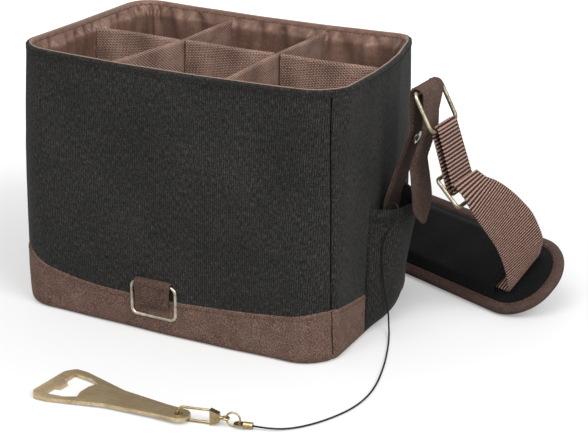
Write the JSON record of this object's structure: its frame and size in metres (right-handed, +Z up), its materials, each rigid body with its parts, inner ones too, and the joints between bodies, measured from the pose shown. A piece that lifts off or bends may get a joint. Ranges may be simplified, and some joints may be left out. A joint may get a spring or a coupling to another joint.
{
  "type": "bottle caddy",
  "caption": "Padded canvas bottle carrier with divided cells, suede foot band, shoulder strap on side rings, front ring and a tethered flat bottle opener in a side pocket.",
  "frame": {"origin": "middle of the bag's underside, on the floor", "axes": "+X along the long side towards the opener pocket, +Y towards the back, +Z up"},
  "size_m": [0.3955, 0.41, 0.195],
  "materials": {
    "canvas": "matte waxed canvas",
    "hem": "matte turned canvas",
    "suede": "napped suede",
    "foam": "closed-cell padding",
    "board": "matte",
    "lining": "satin",
    "divider": "matte woven",
    "pocket": "matte waxed canvas",
    "ring": "antique satin",
    "stud": "polished",
    "webbing": "ribbed weave",
    "pad": "matte canvas",
    "binding": "napped suede",
    "opener": "brushed",
    "clip": "satin",
    "cord": "braided"
  },
  "bodies": {
    "bag": {"front_panel": "canvas", "back_panel": "canvas", "left_panel": "canvas", "right_panel": "canvas", "front_hem": "hem", "back_hem": "hem", "left_hem": "hem", "right_hem": "hem", "front_band": "suede", "back_band": "suede", "left_band": "suede", "right_band": "suede", "base_panel": "suede", "right_tab": "suede", "left_tab": "suede", "front_tab": "suede", "front_foam": "foam", "back_foam": "foam", "left_foam": "foam", "right_foam": "foam", "base_board": "board", "lining": "lining", "left_cross_divider": "divider", "right_cross_divider": "divider", "left_long_divider": "divider", "middle_long_divider": "divider", "right_long_divider": "divider", "opener_pocket": "pocket", "right_stud": "stud", "left_stud": "stud", "right_socket": "stud", "left_socket": "stud", "strap_loop": "webbing", "left_loop": "webbing", "right_webbing": "webbing", "left_webbing": "webbing", "cord_anchor": "webbing", "cord_ferrule": "clip", "tether_cord": "cord"},
    "front_ring": {"front_ring": "ring"},
    "right_ring": {"right_ring": "ring"},
    "left_ring": {"left_ring": "ring"},
    "slider": {"slider": "ring"},
    "shoulder_strap": {"pad_body": "pad", "pad_binding": "binding", "pad_sleeve": "pad"},
    "tether_ring": {"split_ring": "clip", "swivel_eye": "clip"},
    "clip": {"clip_body": "clip", "clip_hook": "clip"},
    "clip_gate": {"clip_gate": "clip"},
    "opener": {"bottle_opener": "opener"}
  },
  "joints": [
    {"name": "front_ring_swing", "type": "hinge", "parent": "bag", "child": "front_ring", "pos_m": [-0.0075, -0.08992, 0.0375], "axis": [-1, 0, 0], "range_deg": [0, 150]},
    {"name": "right_ring_swing", "type": "hinge", "parent": "bag", "child": "right_ring", "pos_m": [0.157, 0.004, 0.1814], "axis": [0, -1, 0], "range_deg": [-8, 80], "deforming": ["strap_loop"]},
    {"name": "left_ring_swing", "type": "hinge", "parent": "bag", "child": "left_ring", "pos_m": [-0.147, 0.004, 0.1734], "axis": [0, 1, 0], "range_deg": [-4, 95], "deforming": ["left_loop"]},
    {"name": "slider_slide", "type": "slide", "parent": "bag", "child": "slider", "axis": [0.309, 0, -0.9511], "range_m": [-0.008, 0.012], "deforming": ["strap_loop", "right_webbing"]},
    {"name": "strap_lift", "type": "hinge", "parent": "bag", "child": "shoulder_strap", "pos_m": [0, 0.004, 0.18], "axis": [1, 0, 0], "range_deg": [0, 140], "deforming": ["right_webbing", "left_webbing"]},
    {"name": "tether_ring_swing", "type": "hinge", "parent": "bag", "child": "tether_ring", "pos_m": [0.11931, -0.18727, 0.0022], "axis": [0, 0, 1], "range_deg": [-20, 20]},
    {"name": "clip_swivel", "type": "hinge", "parent": "tether_ring", "child": "clip", "pos_m": [0.10718, -0.19027, 0.0053], "axis": [0.9707, 0.2402, 0], "continuous": true},
    {"name": "clip_gate_hinge", "type": "hinge", "parent": "clip", "child": "clip_gate", "pos_m": [0.10019, -0.192, 0.0097], "axis": [0.2402, -0.9707, 0], "range_deg": [0, 20], "stiffness_Nm_per_rad": 0.002},
    {"name": "opener_swing", "type": "hinge", "parent": "clip", "child": "opener", "pos_m": [0.08044, -0.19689, 0.0053], "axis": [0, 0, 1], "range_deg": [-20, 45]}
  ]
}
